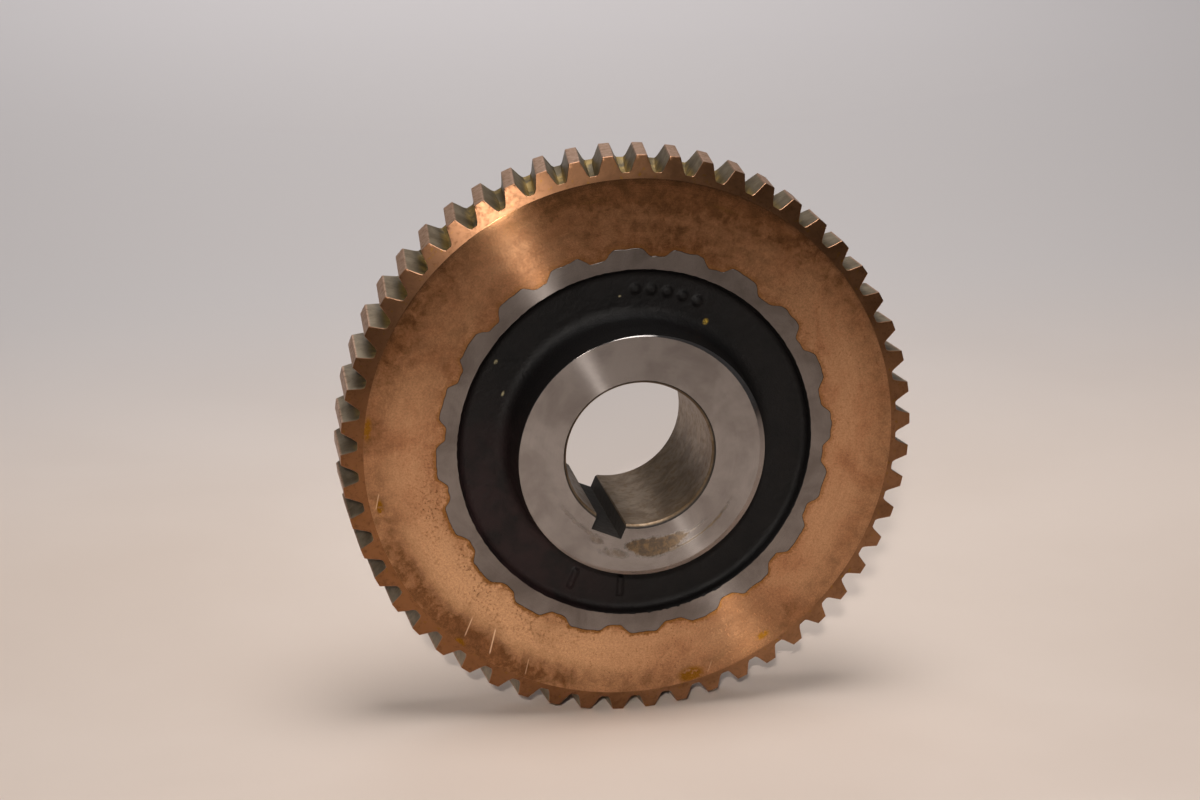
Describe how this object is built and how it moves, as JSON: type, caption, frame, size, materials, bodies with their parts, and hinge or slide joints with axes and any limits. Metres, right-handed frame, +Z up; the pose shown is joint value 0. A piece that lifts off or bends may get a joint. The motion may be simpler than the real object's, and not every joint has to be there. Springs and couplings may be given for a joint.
{
  "type": "worm wheel",
  "caption": "Worm gear wheel with a bronze toothed rim cast onto a cast-iron centre, a long hub and a keyed shaft bore.",
  "frame": {"origin": "on the bore axis, half way between the two turned faces of the rim, which is also the middle of the whole part", "axes": "Y runs along the bore axis with the marked face of the wheel toward -Y; Z is up as the wheel stands on its teeth; X is to the right seen from the marked face"},
  "size_m": [0.2264, 0.0654, 0.2264],
  "materials": {
    "iron": "black painted casting with turned grey faces",
    "bronze": "turned and hobbed bronze, tarnished"
  },
  "bodies": {
    "root": {"iron_centre": "iron", "bronze_rim": "bronze"}
  },
  "joints": []
}
